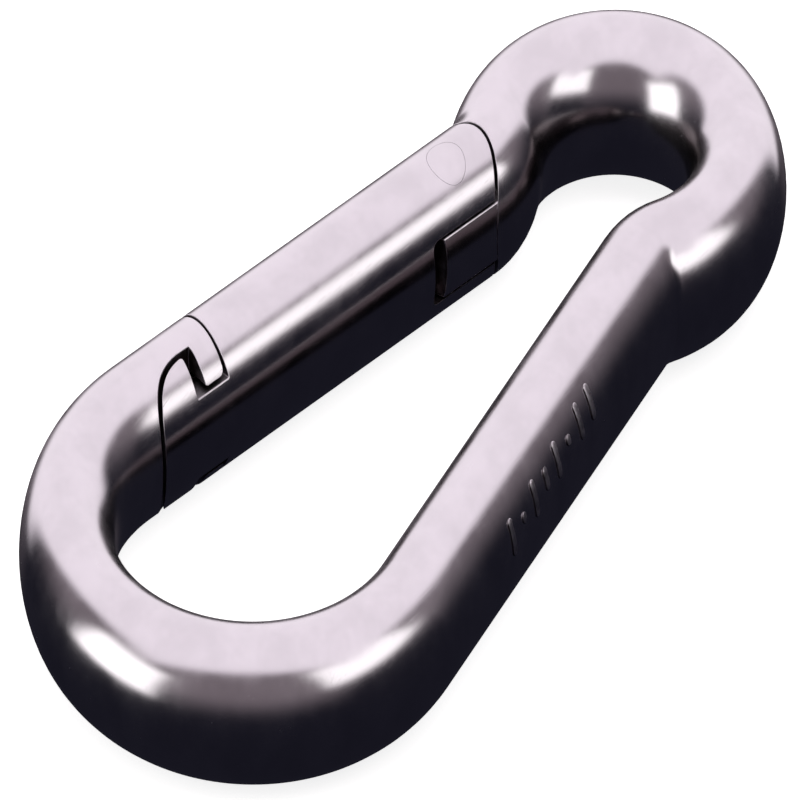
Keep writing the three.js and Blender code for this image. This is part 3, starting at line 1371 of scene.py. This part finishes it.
@dataclass(frozen=True)
class Plunger:
    """The push pin between the tang's cam and the spring."""

    plan: HookPlan
    face_x: float = -4.2
    head_radius: float = 1.9
    head_length: float = 3.0
    stem_radius: float = 0.85
    stem_length: float = 3.0
    chamfer: float = 0.25
    nose_share: float = 0.3
    edge: float = 0.05
    sides: int = 72

    def build(self, steels: SteelSet) -> bpy.types.Object:
        """Makes the piece.

        Args:
            steels: What it is dressed in.

        Returns:
            The piece.
        """
        step = self.face_x - self.head_length
        end, cut, nose = step - self.stem_length, self.chamfer, self.chamfer * self.nose_share
        profile = [
            (end, self.stem_radius - cut),
            (end + cut, self.stem_radius),
            (step, self.stem_radius),
            (step, self.head_radius - cut / 2),
            (step + cut / 2, self.head_radius),
            (self.face_x - cut, self.head_radius),
            (self.face_x - nose, self.head_radius - nose),
            (self.face_x, self.head_radius - cut),
        ]
        solid = Solid.turned("plunger", profile, self.sides, self.plan.hinge)
        return solid.softened(self.edge, steels).shown("push_pin")


@dataclass(frozen=True)
class ReturnSpring:
    """The coil spring in the gate's bore, with its end turns closed."""

    plan: HookPlan
    seat_x: float = -7.8
    bottom_x: float = -21.4
    wire_radius: float = 0.3
    coil_radius: float = 1.55
    turns: int = 9
    steps_per_turn: int = 40
    wire_sides: int = 20
    closed_pitch: float = 2.15
    slope_step: float = 0.01

    def lie(self, turn: float) -> float:
        """How far along the spring the wire is, after so many turns, in millimetres.

        Args:
            turn: How many turns of wire lie behind.

        Returns:
            The distance from the seat.
        """
        closed = self.closed_pitch * self.wire_radius
        open_pitch = (self.seat_x - self.bottom_x - 2 * closed) / (self.turns - 2)
        if turn < 1:
            return closed * turn
        if turn > self.turns - 1:
            return self.seat_x - self.bottom_x - closed * (self.turns - turn)
        return closed + open_pitch * (turn - 1)

    def build(self, steels: SteelSet) -> bpy.types.Object:
        """Makes the piece.

        Args:
            steels: What it is dressed in.

        Returns:
            The piece.
        """
        hinge = self.plan.hinge
        rings = []
        count = self.turns * self.steps_per_turn
        around = np.arange(self.wire_sides) * 2 * math.pi / self.wire_sides
        for i in range(count + 1):
            turn = i / self.steps_per_turn
            angle = 2 * math.pi * turn
            before, after = max(turn - self.slope_step, 0), min(turn + self.slope_step, self.turns)
            slope = (self.lie(after) - self.lie(before)) / (2 * self.slope_step)
            radial = Vector((0, math.cos(angle), math.sin(angle)))
            onward = Vector((0, -math.sin(angle), math.cos(angle))) * (2 * math.pi * self.coil_radius)
            across = (Vector((-slope, 0, 0)) + onward).normalized().cross(radial)
            middle = Vector((self.seat_x - self.lie(turn), 0, 0)) + radial * self.coil_radius
            ring = []
            for a in around:
                offset = radial * math.cos(a) + across * math.sin(a)
                ring.append(hinge @ (middle + offset * self.wire_radius))
            rings.append(np.array(ring))
        solid = Solid.lofted("spring", rings)
        solid.mesh.materials.append(steels[Face.POLISHED.value])
        return solid.shown("return_spring")


# ---------------------------------------------------------------------------- the studio


@dataclass(frozen=True)
class Studio:
    """The pale floor, the soft light round the hook, and the camera."""

    plan: HookPlan
    camera_azimuth: float = math.radians(51.418)
    camera_elevation: float = math.radians(28.79)
    camera_distance: float = 2.6
    camera_lens: float = 1152.7
    sensor_width: float = 36.0
    clip: tuple[float, float] = (0.1, 20.0)
    stretch: float = 5 / 3
    aim_right: float = -0.003459
    aim_up: float = -0.001689
    floor_size: float = 3.0
    floor_tint: float = 0.8
    floor_roughness: float = 0.9
    floor_glow: float = 0.85
    bright: Colour = (1.12, 1.05, 1.1, 1.0)
    middle: Colour = (0.2, 0.17, 0.185, 1.0)
    dark: Colour = (0.011, 0.011, 0.018, 1.0)
    lamp: Colour = (1.95, 1.92, 1.88, 1.0)
    backdrop: Colour = (1.0, 1.0, 1.0, 1.0)
    canopy_over: tuple[float, ...] = radians(-6, 109, 6)
    canopy_side: tuple[float, ...] = (-0.61, 0.61, 0.07)
    left_lamp_turn: tuple[float, ...] = radians(-96, -50, 5)
    left_lamp_height: tuple[float, ...] = radians(9, 44, 5)
    right_lamp_turn: tuple[float, ...] = radians(40, 98, 5)
    right_lamp_height: tuple[float, ...] = radians(32, 60, 5)
    right_lamp_share: float = 0.85
    climb_height: tuple[float, ...] = radians(-6, 37)
    shaded_turn: tuple[float, ...] = radians(48, 100, 8)
    shaded_height: tuple[float, ...] = radians(12, 34)
    behind_away: tuple[float, ...] = (0.72, 0.95)
    behind_height: tuple[float, ...] = radians(-35, -12)
    behind_share: float = 0.6

    @property
    def right(self) -> Vector:
        """The camera's right."""
        return Vector((math.cos(self.camera_azimuth), -math.sin(self.camera_azimuth), 0))

    @property
    def away(self) -> Vector:
        """The level direction away from the camera."""
        return Vector((math.sin(self.camera_azimuth), math.cos(self.camera_azimuth), 0))

    def floor(self) -> bpy.types.Object:
        """A plain pale floor, which the polished steel doesn't reflect.

        Returns:
            The floor.
        """
        half = self.floor_size / 2
        mesh = bpy.data.meshes.new("floor")
        corners = [(-half, -half, 0), (half, -half, 0), (half, half, 0), (-half, half, 0)]
        mesh.from_pydata(corners, [], [(0, 1, 2, 3)])
        piece = bpy.data.objects.new("floor", mesh)
        bpy.context.scene.collection.objects.link(piece)
        made = bpy.data.materials.new("pale_floor")
        made.use_nodes = True
        graph = Graph(made.node_tree)
        sockets = {
            "Base Color": (self.floor_tint, self.floor_tint, self.floor_tint, 1.0),
            "Roughness": self.floor_roughness,
            "Emission Color": self.backdrop,
            "Emission Strength": self.floor_glow,
        }
        surface = graph.node("ShaderNodeBsdfPrincipled", None, sockets)
        graph.node("ShaderNodeOutputMaterial", None, {"Surface": surface})
        mesh.materials.append(made)
        piece.visible_glossy = False
        return piece

    def light(self) -> None:
        """Soft light: a long bright canopy over the hook, a lamp on each side of the front, dark below."""
        world = bpy.data.worlds.new("studio")
        bpy.context.scene.world = world
        world.use_nodes = True
        graph = Graph(world.node_tree)
        ray = graph.node("ShaderNodeTexCoord", output="Generated")
        up = graph.vector("DOT_PRODUCT", ray, tuple(UPRIGHT), "Value")
        away = graph.vector("DOT_PRODUCT", ray, tuple(self.away), "Value")
        side = graph.vector("DOT_PRODUCT", ray, tuple(self.right), "Value")
        over = up.angle_to(away)
        height = up.arcsine()
        turned = side.angle_to(-away)
        shaded = turned.between(*self.shaded_turn) * (1 - height.rise(*self.shaded_height))
        climb = height.rise(*self.climb_height) * (1 - shaded)
        sky = graph.blend(climb * climb, self.dark, self.middle)
        behind = away.rise(*self.behind_away) * height.rise(*self.behind_height)
        sky = graph.blend(behind * self.behind_share, sky, self.middle)
        left_lamp = turned.between(*self.left_lamp_turn) * height.between(*self.left_lamp_height)
        right_lamp = turned.between(*self.right_lamp_turn) * height.between(*self.right_lamp_height)
        sky = graph.blend(left_lamp, sky, self.lamp)
        sky = graph.blend(right_lamp * self.right_lamp_share, sky, self.lamp)
        canopy = over.between(*self.canopy_over) * side.between(*self.canopy_side)
        sky = graph.blend(canopy, sky, self.bright)
        camera_ray = graph.node("ShaderNodeLightPath", output="Is Camera Ray")
        sky = graph.blend(camera_ray, sky, self.backdrop)
        shade = graph.node("ShaderNodeBackground", None, {"Color": sky, "Strength": 1.0})
        graph.node("ShaderNodeOutputWorld", None, {"Surface": shade})

    def camera(self) -> bpy.types.Object:
        """The camera, on a leaning rig that draws everything upright by the stretch.

        Returns:
            The camera.
        """
        lens = bpy.data.cameras.new("camera")
        lens.lens = self.camera_lens
        lens.sensor_width = self.sensor_width
        lens.clip_start, lens.clip_end = self.clip
        camera = bpy.data.objects.new("camera", lens)
        rig = bpy.data.objects.new("camera_rig", None)
        for thing in (camera, rig):
            bpy.context.scene.collection.objects.link(thing)
        rise = self.camera_elevation
        back = -self.away * math.cos(rise) + UPRIGHT * math.sin(rise)
        upright = self.away * math.sin(rise) + UPRIGHT * math.cos(rise)
        middle = Vector((*(self.plan.eye + self.plan.bow) / 2, self.plan.height)) * MM
        target = middle + self.right * self.aim_right + upright * self.aim_up
        lean = (upright / self.stretch - back * math.sqrt(1 - 1 / self.stretch**2)).normalized()
        stand = target + back * self.camera_distance
        columns = (self.right, lean, back, stand)
        rows = [[column[i] for column in columns] for i in range(3)] + [[0, 0, 0, 1]]
        camera.parent = rig
        camera.matrix_parent_inverse = Matrix(rows)
        bpy.context.scene.camera = camera
        bpy.context.scene.view_settings.view_transform = "Standard"
        return camera


# ---------------------------------------------------------------------------- the whole hook


def place(piece: bpy.types.Object, node: str, body: Body, slot: Slot) -> None:
    """Hangs a piece on its body in place of a frame node, and reports it.

    Args:
        piece: The piece.
        node: The frame node that it stands for.
        body: The body that it moves with.
        slot: The record's slot for its finish; not used.
    """
    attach(piece, body.value)
    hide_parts(node)
    low, high = (Vector(c) for c in (piece.bound_box[0], piece.bound_box[6]))
    size = " x ".join(f"{(b - a) / MM:.2f}" for a, b in zip(low, high))
    log.info("%s: %d faces, %s mm, on %s", piece.name, len(piece.data.polygons), size, body.value)


def main() -> None:
    """Builds the studio and the five pieces, and writes how large the hook came out."""
    plan, latch = HookPlan(), Latch()
    studio = Studio(plan)
    studio.camera()
    studio.light()
    studio.floor()
    bar_steel = steel_set("bar_steel", (0.73, 0.69, 0.735), 0.16)
    gate_steel = steel_set("gate_steel", (0.72, 0.68, 0.725), 0.14)
    pin_steel = steel_set("pin_steel", (0.6, 0.57, 0.61), 0.2)
    spring_steel = steel_set("spring_steel", (0.55, 0.55, 0.57), 0.22)
    place(HookBody(plan, latch).build(bar_steel), "hook_body", Body.HOOK, Slot.BAR)
    place(Gate(plan, latch).build(gate_steel), "gate", Body.GATE_ARM, Slot.GATE)
    place(HingePin(plan).build(gate_steel), "hinge_pin", Body.GATE_ARM, Slot.PIN)
    place(Plunger(plan).build(pin_steel), "spring_plunger", Body.PLUNGER, Slot.PIN)
    spring = ReturnSpring(plan).build(spring_steel)
    place(spring, "gate_spring", Body.GATE_ARM, Slot.SPRING)
    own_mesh(spring)


if __name__ == "__main__":
    main()
